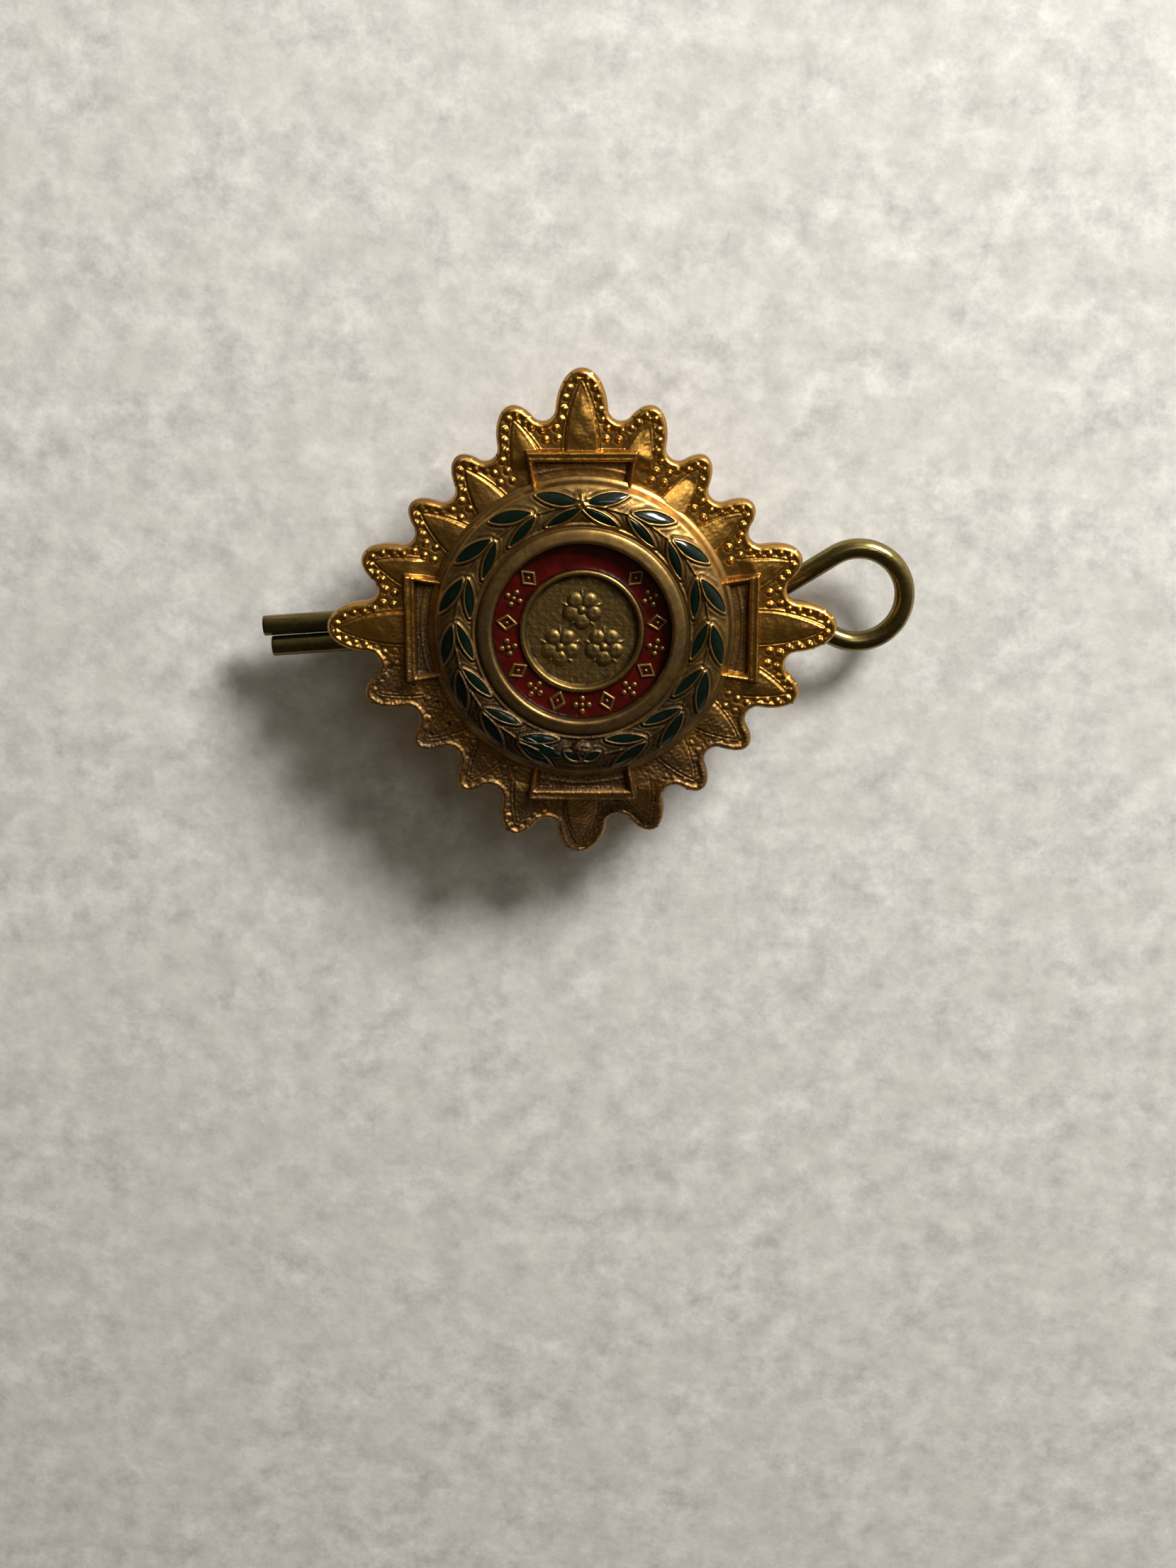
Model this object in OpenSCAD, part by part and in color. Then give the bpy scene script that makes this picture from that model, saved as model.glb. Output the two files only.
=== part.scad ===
// Enamelled star badge: a die-struck star with a laurel collar, an enamelled centre plaque,
// two wire lugs on the back and a split pin that slides through them.
// Millimetres. The back face lies in the plane Z = 0, the face looks up along +Z, the top of
// the star points along +Y, and the eye of the split pin is on the +X side.

/* [Star] */
// Width across the left and right petal tips
star_w = 28; // [27:0.5:32]
// Reach of the petals next to each long petal, as a share of the long one
second_reach = 0.9; // [0.86:0.01:0.94]
// Reach of the shortest petals, as a share of the long one
third_reach = 0.82; // [0.78:0.01:0.84]
// Thickness of the struck plate
plate_t = 1.1; // [0.9:0.1:1.4]
// Depth of the round recess in the back, where the lugs and rivets are fixed
recess_depth = 0.35; // [0.2:0.05:0.4]
// Radius of the recess in the back
recess_r = 7.4; // [7:0.1:7.8]
// Height of the raised frame on each cross arm
frame_h = 0.5; // [0.3:0.1:0.7]
// How far the bottom petal is bent back
bottom_bend = 23; // [0:1:38]
// How far the petal to the right of the bottom one is bent back
right_bend = 12; // [0:1:30]
// How far the petal to the left of the bottom one is bent back
left_bend = 3; // [0:1:30]

/* [Collar] */
// Outside radius of the laurel collar
collar_r = 8.1; // [7.9:0.1:8.2]
// Radius of the thin flange under the collar
flange_r = 8.4; // [8.3:0.1:8.6]
// Height of the top of the collar above the plate
collar_h = 1.4; // [1.2:0.1:1.8]
// Radius of the opening that holds the plaque
bore_r = 4.87; // [4.8:0.01:4.95]
// Pairs of leaves on each side
leaf_pairs = 8; // [6:1:8]
// Angle between one pair of leaves and the next
leaf_pitch = 21.3; // [20:0.1:21.5]
// Depth of the enamel in the leaves
leaf_depth = 0.3; // [0.2:0.05:0.35]

/* [Plaque] */
// Outside radius of the gilt ring around the middle
ring_r = 3.42; // [3.3:0.02:3.5]
// Width of that ring
ring_w = 0.35; // [0.3:0.05:0.5]
// Ornaments in the red band
ornaments = 15; // [9:2:17]
// Angle at the top of the red band that stays plain
plain_angle = 70; // [50:1:90]

/* [Fastening] */
// Diameter of the split pin's wire
pin_d = 1.15; // [1:0.05:1.2]
// Length of the split pin over its eye
pin_l = 36.8; // [34:0.1:40]
// Outside radius of the split pin's eye
eye_r = 3.23; // [3:0.01:3.6]
// Half the angle at which the wire opens out to the eye
eye_angle = 28; // [20:1:35]
// Turn of the lugs and the pin against the star's cross line
pin_turn = 4; // [0:0.5:6]
// Distance between the two lugs
lug_spacing = 10; // [8:0.5:12]
// Diameter of the lugs' wire
lug_d = 1.1; // [1:0.05:1.2]
// Inside radius of the bend of a lug
lug_r = 1.5; // [1.45:0.05:1.6]
// Depth of the pin's centre line below the back face
pin_z = 2.75; // [2.7:0.05:3]

/* [Hidden] */
$fn = 64;
eps = 0.02;
petals = 20;
petal_step = 360 / petals;
// a petal ends in half an ellipse, and its flanks flare towards the next petal
tip_l = 2.4;
tip_w = [1.42, 1.3, 1.16];
flare = 2.4;
root_r = 7.6;
valley_r = 0.7;
// each bend line; the flat plate runs on past it and the bent petal starts just below the top
hinge_r = 8.45;
hinge_lap = 0.05;
hinge_sink = 0.03;
sector_lap = 0.5;
// the raised frame of a cross arm, as distances from the centre and half widths
frame_out = 9.65;
frame_bar = 0.55;
frame_in = 8.1;
frame_w = [2.72, 2.98];
rail_w = 0.36;
// taller than anything that stands on the plate
tall = 4;

collar_z = plate_t + collar_h;
rim_z = plate_t + 0.6;
crown_r = 6.6;
dome_r = (pow(collar_r - crown_r, 2) + pow(collar_z - rim_z, 2)) / (2 * (collar_z - rim_z));
lip_out = 5.75;
lip_r = (lip_out - bore_r) / 2;
lip_z = collar_z + 0.12 - lip_r;
flange_t = 0.25;
// the knot and the fruit are balls: distance from the centre, radius, centre below the crown
knot = [7.2, 0.42, 0.4];
fruit = [6.45, 0.5, 0.3];

// each leaf is [start radius, end radius, start angle, end angle, width]; angles run from
// the stem's joint with the pair
outer_leaf = [7.08, 7.84, 1.5, 18.5, 0.6];
inner_leaf = [6.78, 6.1, 0.5, 18.5, 0.46];
end_leaf = [6.75, 7.15, 1.5, 8.7, 0.4];
sides = ["left", "right"];
rows = ["outer", "inner"];
leaf_low = plate_t + 0.2;

plaque_r = bore_r - 0.05;
red_z = plate_t + 0.85;
red_floor = plate_t + 0.45;
disc_z = plate_t + 0.65;
motif_z = red_z + 0.06;
band_r = (ring_r + plaque_r) / 2;
lozenge = [0.36, 0.46];
pellet_r = 0.16;
pellet_gap = 0.29;
rosette_at = [[0, 1.15], [-1.2, -0.9], [1.2, -0.9]];
rosette_petals = 5;
rosette_petal_at = 0.6;
// radius and height
rosette_petal = [0.36, 0.28];
rosette_eye = [0.34, 0.4];

rivet_y = 6.3;
rivet_r = 0.6;
rivet_top = plate_t + 0.55;
rivet_head_r = 0.95;
rivet_head_t = 0.3;
braze = 0.4;

leg_y = pin_d / 2 + 0.02;
eye_c = eye_r - pin_d / 2;
bend_r = 1.4;
short_leg = 0.2;
// the lengths of wire stop just short of each other, inside a ball a hair thicker than the wire
joint_gap = 0.01;
joint_swell = 0.012;
pin_right = 18.78;
eye_x = pin_right - eye_r;
// the straight branch is tangent to the eye and to the small bend at the end of each leg
branch_x = eye_x - (eye_c + bend_r - (leg_y + bend_r) * cos(eye_angle)) / sin(eye_angle);
lug_c = lug_r + lug_d / 2;

function leaf_name(side, row, k) = str("leaf_", side, "_", row, "_", k);
function end_name(side) = str("leaf_", side, "_end");
function petal_kind(k) = k % 5 == 0 ? 0 : k % 5 == 1 || k % 5 == 4 ? 1 : 2;
function petal_reach(k) = star_w / 2 * [1, second_reach, third_reach][petal_kind(k)];
function bend_of(k) = k == 10 ? bottom_bend : k == 9 ? right_bend : k == 11 ? left_bend : 0;

gilt = "#b8892e";
brass = "#8a7a3c";
green = "#10402c";
red = "#7c1f2a";

// ---- star ----

module petal_2d(k) {
    reach = petal_reach(k);
    w = tip_w[petal_kind(k)];
    tip = [for (a = [-90:12:90]) [w * sin(a), reach - tip_l + tip_l * cos(a)]];
    polygon(concat([[-w - flare, root_r], [0, 0], [w + flare, root_r]],
                   [for (i = [len(tip) - 1:-1:0]) tip[i]]));
}

module star_2d() {
    offset(r = -valley_r, $fn = 36) offset(r = valley_r, $fn = 36)
        for (k = [0:petals - 1]) rotate(-k * petal_step) petal_2d(k);
}

// the sector of petal k beyond a line across it at the distance start
module beyond_2d(k, start, spread) {
    far = star_w;
    rotate(-k * petal_step) intersection() {
        polygon([[0, 0], [far * sin(spread), far * cos(spread)],
                 [-far * sin(spread), far * cos(spread)]]);
        translate([-far / 2, start]) square(far);
    }
}

// half the outer width of an arm's frame at distance y from the centre
function frame_half(y) =
    frame_w[0] + (frame_w[1] - frame_w[0]) * (y - frame_in) / (frame_out - frame_in);

module trapezoid(y_low, y_high, inset) {
    low = frame_half(y_low) - inset;
    high = frame_half(y_high) - inset;
    polygon([[-low, y_low], [low, y_low], [high, y_high], [-high, y_high]]);
}

module arm_frame() {
    translate([0, 0, plate_t - 0.1]) linear_extrude(frame_h + 0.1) difference() {
        trapezoid(frame_in, frame_out, 0);
        trapezoid(frame_in - 1, frame_out - frame_bar, rail_w);
    }
}

// turns petal k back about its bend line
module bend_back(k) {
    rotate(-k * petal_step) translate([0, hinge_r, plate_t - hinge_sink])
        rotate([-bend_of(k), 0, 0])
            translate([0, -hinge_r, -plate_t]) rotate(k * petal_step) children();
}

// petal k with what its cross arm's frame covers of it, wide enough to run into its neighbours
module bent_petal(k) {
    spread = petal_step / 2 + 2 * sector_lap;
    intersection() {
        bend_back(k) intersection() {
            union() {
                linear_extrude(plate_t) star_2d();
                rotate(180) arm_frame();
            }
            linear_extrude(tall) beyond_2d(k, hinge_r, spread + sector_lap);
        }
        translate([0, 0, -tall]) linear_extrude(2 * tall) beyond_2d(k, 0, spread);
    }
}

module star_plate() {
    bent = [for (k = [0:petals - 1]) if (bend_of(k) > 0) k];
    color(gilt) difference() {
        union() {
            linear_extrude(plate_t) difference() {
                star_2d();
                for (k = bent) beyond_2d(k, hinge_r + hinge_lap, petal_step / 2 + sector_lap);
            }
            for (a = [0, 90, 270]) rotate(-a) arm_frame();
            for (k = bent) bent_petal(k);
        }
        translate([0, 0, -1]) cylinder(r = recess_r, h = 1 + recess_depth);
        rivet_holes();
    }
}

module rivet_holes() {
    for (s = [-1, 1]) translate([0, s * rivet_y, 0])
        cylinder(r = rivet_r + eps, h = rivet_top + eps);
}

// ---- collar ----

module dome(shrink) {
    rotate_extrude() translate([crown_r, collar_z - dome_r]) circle(dome_r - shrink);
}

module tube(r_in, r_out, z_low, z_high) {
    translate([0, 0, z_low]) difference() {
        cylinder(r = r_out, h = z_high - z_low);
        translate([0, 0, -1]) cylinder(r = r_in, h = z_high - z_low + 2);
    }
}

function polar(r, a) = [r * sin(a), r * cos(a)];

// a pointed leaf: the overlap of two equal circles, laid along its own chord
module leaf_2d(leaf, joint, grow) {
    from = polar(leaf[0], joint + leaf[2]);
    to = polar(leaf[1], joint + leaf[3]);
    l = norm(to - from) + 2 * grow;
    w = leaf[4] + 2 * grow;
    r = (l * l + w * w) / (4 * w);
    translate((from + to) / 2) rotate(atan2(to[1] - from[1], to[0] - from[0]))
        intersection() {
            translate([0, r - w / 2]) circle(r);
            translate([0, w / 2 - r]) circle(r);
        }
}

function leaf_shape(row) = row == "outer" ? outer_leaf : inner_leaf;

// the leaves grow from the knot at the top down both sides to the fruit at the bottom
module on_side(side) {
    if (side == "left") mirror([1, 0, 0]) children();
    else children();
}

module leaf_prism(leaf, k, grow) {
    translate([0, 0, leaf_low]) linear_extrude(tall) leaf_2d(leaf, (k - 1) * leaf_pitch, grow);
}

module all_leaf_prisms() {
    for (s = sides) on_side(s) {
        for (w = rows, k = [1:leaf_pairs]) leaf_prism(leaf_shape(w), k, 0);
        leaf_prism(end_leaf, leaf_pairs + 1, 0);
    }
}

module wreath_collar() {
    color(gilt) {
        difference() {
            union() {
                intersection() {
                    dome(0);
                    tube(bore_r, collar_r, plate_t, plate_t + tall);
                }
                tube(bore_r, collar_r, plate_t, rim_z);
                tube(bore_r, bore_r + 2 * lip_r, plate_t, lip_z);
                rotate_extrude() translate([bore_r + lip_r, lip_z]) circle(lip_r);
                tube(crown_r, flange_r, plate_t, plate_t + flange_t);
                translate([0, knot[0], collar_z - knot[2]]) sphere(knot[1]);
                translate([0, -fruit[0], collar_z - fruit[2]]) sphere(fruit[1]);
            }
            difference() {
                all_leaf_prisms();
                dome(leaf_depth);
            }
            rivet_holes();
        }
    }
}

module leaf_enamel(leaf, side, k) {
    color(green) on_side(side) intersection() {
        leaf_prism(leaf, k, -eps);
        difference() {
            dome(eps);
            dome(leaf_depth - eps);
        }
    }
}

// ---- plaque ----

function ornament_angle(i) =
    plain_angle / 2 + (360 - plain_angle) * (i + 0.5) / ornaments;

// lozenges with a pellet turn about with four pellets around a fifth
module ornament_2d(i, grow) {
    w = lozenge[0] + grow;
    h = lozenge[1] + grow;
    rotate(-ornament_angle(i)) translate([0, band_r])
        if (i % 2 == 0) polygon([[0, h], [w, 0], [0, -h], [-w, 0]]);
        else {
            circle(pellet_r + grow);
            for (a = [0:90:270]) rotate(a) translate([0, pellet_gap]) circle(pellet_r + grow);
        }
}

module rosette() {
    cylinder(r = rosette_eye[0], h = rosette_eye[1]);
    for (i = [1:rosette_petals]) rotate(i * 360 / rosette_petals)
        translate([0, rosette_petal_at]) cylinder(r = rosette_petal[0], h = rosette_petal[1]);
}

module centre_plaque() {
    color(gilt) {
        translate([0, 0, plate_t]) cylinder(r = plaque_r, h = red_floor - plate_t);
        cylinder_from(ring_r, red_floor, disc_z);
        tube(ring_r - ring_w, ring_r, disc_z, motif_z + 0.1);
        translate([0, 0, red_floor]) linear_extrude(motif_z - red_floor)
            for (i = [0:ornaments - 1]) ornament_2d(i, 0);
        for (p = rosette_at) translate([p[0], p[1], disc_z]) rosette();
    }
}

module cylinder_from(r, z_low, z_high) {
    translate([0, 0, z_low]) cylinder(r = r, h = z_high - z_low);
}

module red_enamel() {
    color(red) translate([0, 0, red_floor + eps]) linear_extrude(red_z - red_floor - eps)
        difference() {
            circle(plaque_r - eps);
            circle(ring_r + eps);
            for (i = [0:ornaments - 1]) ornament_2d(i, eps);
        }
}

// ---- fastening ----

module centre_rivets() {
    color(brass) for (s = [-1, 1]) translate([0, s * rivet_y, 0]) {
        cylinder_from(rivet_head_r, recess_depth - rivet_head_t, recess_depth);
        cylinder_from(rivet_r, recess_depth, rivet_top);
    }
}

// a loop of wire, brazed to the floor of the recess by both ends
module lug(x) {
    color(brass) rotate(pin_turn) translate([x, 0, 0]) {
        translate([0, 0, -pin_z]) rotate([0, 90, 0]) rotate(-90)
            rotate_extrude(angle = 180) translate([lug_c, 0]) circle(lug_d / 2);
        for (s = [-1, 1]) translate([0, s * lug_c, 0]) {
            cylinder_from(lug_d / 2, -pin_z, recess_depth);
            translate([0, 0, recess_depth - braze])
                cylinder(r1 = lug_d / 2, r2 = lug_d / 2 + braze, h = braze);
        }
    }
}

module lug_left() {
    lug(-lug_spacing / 2);
}

module lug_right() {
    lug(lug_spacing / 2);
}

// a length of wire along X, and a bend of it about the Z axis; both stop short of the joint
module wire(l) {
    translate([joint_gap, 0, 0]) rotate([0, 90, 0]) cylinder(d = pin_d, h = l - 2 * joint_gap);
}

module wire_bend(r, from, sweep) {
    gap_a = joint_gap / r * 180 / PI;
    rotate(from + gap_a) rotate_extrude(angle = sweep - 2 * gap_a)
        translate([r, 0]) circle(pin_d / 2);
}

module wire_joint(p) {
    translate([p[0], p[1], 0]) sphere(pin_d / 2 + joint_swell);
}

// half of the pin: one leg, the small bend at its end and the branch up to the eye
module pin_half(short) {
    leg_l = branch_x - (pin_right - pin_l) - short;
    bend_end = [branch_x + bend_r * sin(eye_angle), leg_y + bend_r * (1 - cos(eye_angle))];
    translate([branch_x - leg_l, leg_y, 0]) wire(leg_l);
    wire_joint([branch_x, leg_y]);
    translate([branch_x, leg_y + bend_r, 0]) wire_bend(bend_r, -90, eye_angle);
    wire_joint(bend_end);
    translate([bend_end[0], bend_end[1], 0]) rotate(eye_angle) wire(branch_l());
    wire_joint([eye_x - eye_c * sin(eye_angle), eye_c * cos(eye_angle)]);
}

function branch_l() =
    (eye_x - branch_x) * cos(eye_angle) - (leg_y + bend_r) * sin(eye_angle);

module split_pin() {
    color(brass) rotate(pin_turn) translate([0, 0, -pin_z]) {
        pin_half(0);
        mirror([0, 1, 0]) pin_half(short_leg);
        translate([eye_x, 0, 0])
            wire_bend(eye_c, -90 - eye_angle, 180 + 2 * eye_angle);
    }
}

star_plate();
wreath_collar();
centre_plaque();
red_enamel();
centre_rivets();
lug_left();
lug_right();
split_pin();
for (s = sides, w = rows, k = [1:leaf_pairs])
    leaf_enamel(leaf_shape(w), s, k);
for (s = sides)
    leaf_enamel(end_leaf, s, leaf_pairs + 1);
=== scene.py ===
import math

import bmesh
import bpy
import numpy as np
from mathutils import Matrix
from mathutils.geometry import delaunay_2d_cdt


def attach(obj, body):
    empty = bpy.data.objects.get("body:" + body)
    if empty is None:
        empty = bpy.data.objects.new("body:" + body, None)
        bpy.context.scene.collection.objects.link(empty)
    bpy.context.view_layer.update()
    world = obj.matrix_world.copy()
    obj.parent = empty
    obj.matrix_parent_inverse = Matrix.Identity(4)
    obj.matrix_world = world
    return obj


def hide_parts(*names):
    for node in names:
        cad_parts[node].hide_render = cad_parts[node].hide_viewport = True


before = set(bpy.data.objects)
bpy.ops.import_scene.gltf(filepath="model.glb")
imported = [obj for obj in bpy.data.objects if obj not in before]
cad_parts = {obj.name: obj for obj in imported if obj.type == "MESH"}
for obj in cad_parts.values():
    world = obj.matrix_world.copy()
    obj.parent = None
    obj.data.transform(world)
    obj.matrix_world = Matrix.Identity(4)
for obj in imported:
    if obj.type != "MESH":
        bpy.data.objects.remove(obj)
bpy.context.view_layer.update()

# Everything below is worked out in millimetres in the CAD model's frame, and made in metres.
MM = 0.001
BODY = "badge"

# ---- sizes of the CAD model ----
REACH = [14.0, 12.6, 11.48]
TIP_W = [1.42, 1.3, 1.16]
TIP_L, FLARE, ROOT_R, VALLEY_R = 2.4, 2.4, 7.6, 0.7
PLATE_T, RECESS_D = 1.1, 0.35
FRAME_OUT, FRAME_IN, FRAME_W = 9.65, 8.1, (2.72, 2.98)
CROWN_R, COLLAR_Z, DOME_R, BORE_R = 6.6, 2.5, 1.806, 4.87
LEAF_PAIRS, LEAF_PITCH = 8, 21.3
LEAVES = {"outer": (7.08, 7.84, 1.5, 18.5, 0.6), "inner": (6.78, 6.1, 0.5, 18.5, 0.46),
          "end": (6.75, 7.15, 1.5, 8.7, 0.4)}
RING_OUT, RING_Z, DISC_Z, RED_FLOOR, RED_Z = 3.42, 2.11, 1.75, 1.55, 1.95
BAND_R, ORNAMENTS, PLAIN_ANGLE = 4.12, 15, 70
ROSETTES = [(0, 1.15), (-1.2, -0.9), (1.2, -0.9)]
HINGE_R = 8.45
PIN_D, PIN_Z, PIN_TURN, PIN_RIGHT, PIN_L, EYE_R, EYE_ANGLE = 1.15, 2.75, 4, 18.78, 36.8, 3.23, 28
LUG_X, LUG_D, LUG_R = 5.0, 1.1, 1.5
RIVET_Y = 6.3
FLOOR_Z = -5.4

# ---- sizes of the finer shapes ----
FIELD_Z = 0.975  # the star's face between its beads and lancets
BEAD_R, BEAD_H = 0.2, 0.17
FRAME_FOOT, FRAME_TOP = 0.97, 1.52
BEND, BEND_X, BEND_W = 25.2, 1.0, 3.37  # of the bottom petals: degrees, middle and width
KNOT, FLOWER = (0, 7.2), (0, -6.45)  # at the top and the bottom of the wreath
PLAQUE_R, MARK_Z, MARK_FOOT = 4.82, 1.93, 1.6
RED_IN, RED_OUT = 3.43, 4.84
ROW = 0.8660254  # spacing of the rows in a lattice of equilateral triangles of side 1


# ---- small tools ----
def ramp(x, a, b):
    t = np.clip((x - a) / (b - a), 0, 1)
    return t * t * (3 - 2 * t)


def bump(x, middle, width):
    return np.exp(-(((x - middle) / width) ** 2))


def turned(p, deg):
    """Points turned clockwise, as seen from +Z."""
    a = math.radians(deg)
    c, s = math.cos(a), math.sin(a)
    return p @ np.array([[c, -s], [s, c]])


def distance(points, line):
    """Distance of each point from a polyline."""
    a, ab = line[:-1], np.diff(line, axis=0)
    length2 = np.maximum((ab * ab).sum(1), 1e-12)
    out = np.empty(len(points))
    for i in range(0, len(points), 1500):
        p = points[i:i + 1500, None] - a
        t = np.clip((p * ab).sum(2) / length2, 0, 1)
        out[i:i + 1500] = np.sqrt(((p - t[..., None] * ab) ** 2).sum(2).min(1))
    return out


def resampled(line, places):
    """The points at places(length) along a polyline of that length."""
    s = np.r_[0, np.cumsum(np.hypot(*np.diff(line, axis=0).T))]
    at = places(s[-1])
    return np.c_[np.interp(at, s, line[:, 0]), np.interp(at, s, line[:, 1])]


def along(line, step):
    """A polyline resampled at about this spacing, ends kept."""
    return resampled(line, lambda s: np.linspace(0, s, max(2, int(round(s / step)) + 1)))


def normals(line):
    """Unit normals of a polyline, on the left of its direction."""
    t = np.gradient(line, axis=0)
    return np.c_[-t[:, 1], t[:, 0]] / np.hypot(*t.T)[:, None]


def waves(p, length, seed, terms=14):
    """Smooth unevenness of about this wavelength, from -1 to 1, the same on every run."""
    rng = np.random.default_rng(seed)
    total = np.zeros(len(p))
    for _ in range(terms):
        direction = rng.normal(size=p.shape[1])
        direction *= rng.uniform(0.6, 1.6) * 2 * math.pi / length / np.linalg.norm(direction)
        total += np.sin(p @ direction + rng.uniform(0, 2 * math.pi))
    return total / math.sqrt(terms * 2)


def sink(z, faces, rounds):
    """How far each vertex lies below its surroundings."""
    f = np.asarray(faces)
    e = np.concatenate([f[:, [i, (i + 1) % f.shape[1]]] for i in range(f.shape[1])])
    n = len(z)
    degree = np.maximum(np.bincount(e[:, 0], minlength=n) + np.bincount(e[:, 1], minlength=n), 1)
    mean = z.copy()
    for _ in range(rounds):
        mean = (np.bincount(e[:, 0], mean[e[:, 1]], n)
                + np.bincount(e[:, 1], mean[e[:, 0]], n)) / degree
    return mean - z


def mesh_of(name, verts, faces, **values):
    mesh = bpy.data.meshes.new(name)
    mesh.from_pydata((np.asarray(verts) * MM).tolist(), [],
                     [f for block in faces for f in np.asarray(block).tolist()])
    for key, v in values.items():
        every = np.broadcast_to(v, len(mesh.vertices)).astype(np.float32)
        mesh.attributes.new(key, "FLOAT", "POINT").data.foreach_set("value", every)
    mesh.validate()
    mesh.shade_smooth()
    return mesh


def face_outward(mesh):
    """Turns all faces of a closed mesh outwards."""
    b = bmesh.new()
    b.from_mesh(mesh)
    bmesh.ops.recalc_face_normals(b, faces=b.faces)
    b.to_mesh(mesh)
    b.free()


def placed(name, data):
    obj = bpy.data.objects.new(name, data)
    bpy.context.scene.collection.objects.link(obj)
    return obj


def piece(name, mesh, material, nodes=(), body=BODY):
    mesh.materials.append(material)
    obj = placed(name, mesh)
    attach(obj, body)
    if nodes:
        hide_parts(*nodes)


class Solid:
    """Collects closed shapes into one mesh."""

    def __init__(self):
        self.verts, self.faces, self.count = [], [], 0

    def add(self, verts, *blocks):
        self.verts.append(np.asarray(verts, float))
        self.faces += [np.asarray(b) + self.count for b in blocks if len(b)]
        self.count += len(verts)

    def points(self):
        return np.concatenate(self.verts)


def grid_faces(rows, cols, closed_rows=False, closed_cols=True):
    i = np.arange(rows if closed_rows else rows - 1)
    j = np.arange(cols if closed_cols else cols - 1)
    i, j = [a.ravel() for a in np.meshgrid(i, j, indexing="ij")]
    i1, j1 = (i + 1) % rows, (j + 1) % cols
    return np.c_[i * cols + j, i * cols + j1, i1 * cols + j1, i1 * cols + j]


def angles(count):
    return np.linspace(0, 2 * math.pi, count, endpoint=False)


def fan(ring, middle):
    """Triangles from a closed ring of vertices to the one in its middle."""
    return np.c_[ring, np.roll(ring, -1), np.full(len(ring), middle)]


def closed(rings, first, last):
    """A closed shape over rings of vertices, with a point in the middle of each end ring."""
    rings = np.asarray(rings)
    n, sides = rings.shape[:2]
    count, j = n * sides, np.arange(sides)
    return (np.r_[rings.reshape(-1, 3), [first, last]], grid_faces(n, sides),
            fan(j[::-1], count), fan(count - sides + j, count + 1))


def sweep(path, radius, sides, cap=0.12):
    """A round wire along a path, with slightly rounded straight-cut ends."""
    path = np.asarray(path, float)
    tangent = np.gradient(path, axis=0)
    tangent /= np.linalg.norm(tangent, axis=1)[:, None]
    normal = np.cross(tangent[0], [0, 0, 1.0] if abs(tangent[0][2]) < 0.9 else [0, 1.0, 0])
    a = angles(sides)
    rings, frames = [], []
    for t in tangent:
        normal = normal - t * (normal @ t)
        normal /= np.linalg.norm(normal)
        frames.append((normal.copy(), np.cross(t, normal)))

    def ring(at, i, r):
        n, b = frames[i]
        return at + r * (np.cos(a)[:, None] * n + np.sin(a)[:, None] * b)

    start, end = path[0], path[-1]
    caps = ((0.0, 0.55), (0.0, 1 - cap), (cap * 0.35, 1 - cap * 0.3), (cap, 1.0))
    for back, share in caps:
        rings.append(ring(start + tangent[0] * back * radius, 0, radius * share))
    for i in range(1, len(path) - 1):
        rings.append(ring(path[i], i, radius))
    for back, share in caps[::-1]:
        rings.append(ring(end - tangent[-1] * back * radius, len(path) - 1, radius * share))
    return closed(rings, start, end)


def dome_blob(at, size, spring, height, low, sides, rows, turn=0.0):
    """A closed rounded boss on an ellipse: upright from low to spring, then domed."""
    a = angles(sides)
    dome = [(math.cos(t), spring + height * math.sin(t))
            for t in np.linspace(0, math.pi / 2, rows, endpoint=False)]
    rings = []
    for share, z in [(0.99, low)] + dome:
        flat = np.c_[size[0] * share * np.sin(a), size[1] * share * np.cos(a)]
        rings.append(np.c_[turned(flat, turn) + at, np.full(sides, z)])
    return closed(rings, (*at, low), (*at, spring + height))


def triangulated(points, edges=()):
    points, edges = ([tuple(row) for row in rows] for rows in (points, edges))
    out = delaunay_2d_cdt(points, edges, [], 0, 1e-7, False)
    return np.array([tuple(v) for v in out[0]]), np.array(out[2])


def circles(radii, count):
    """Points on circles of these radii, one circle after another, clockwise from +Y."""
    a = angles(count)
    return (np.array(radii)[:, None, None] * np.c_[np.sin(a), np.cos(a)]).reshape(-1, 2)


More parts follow.
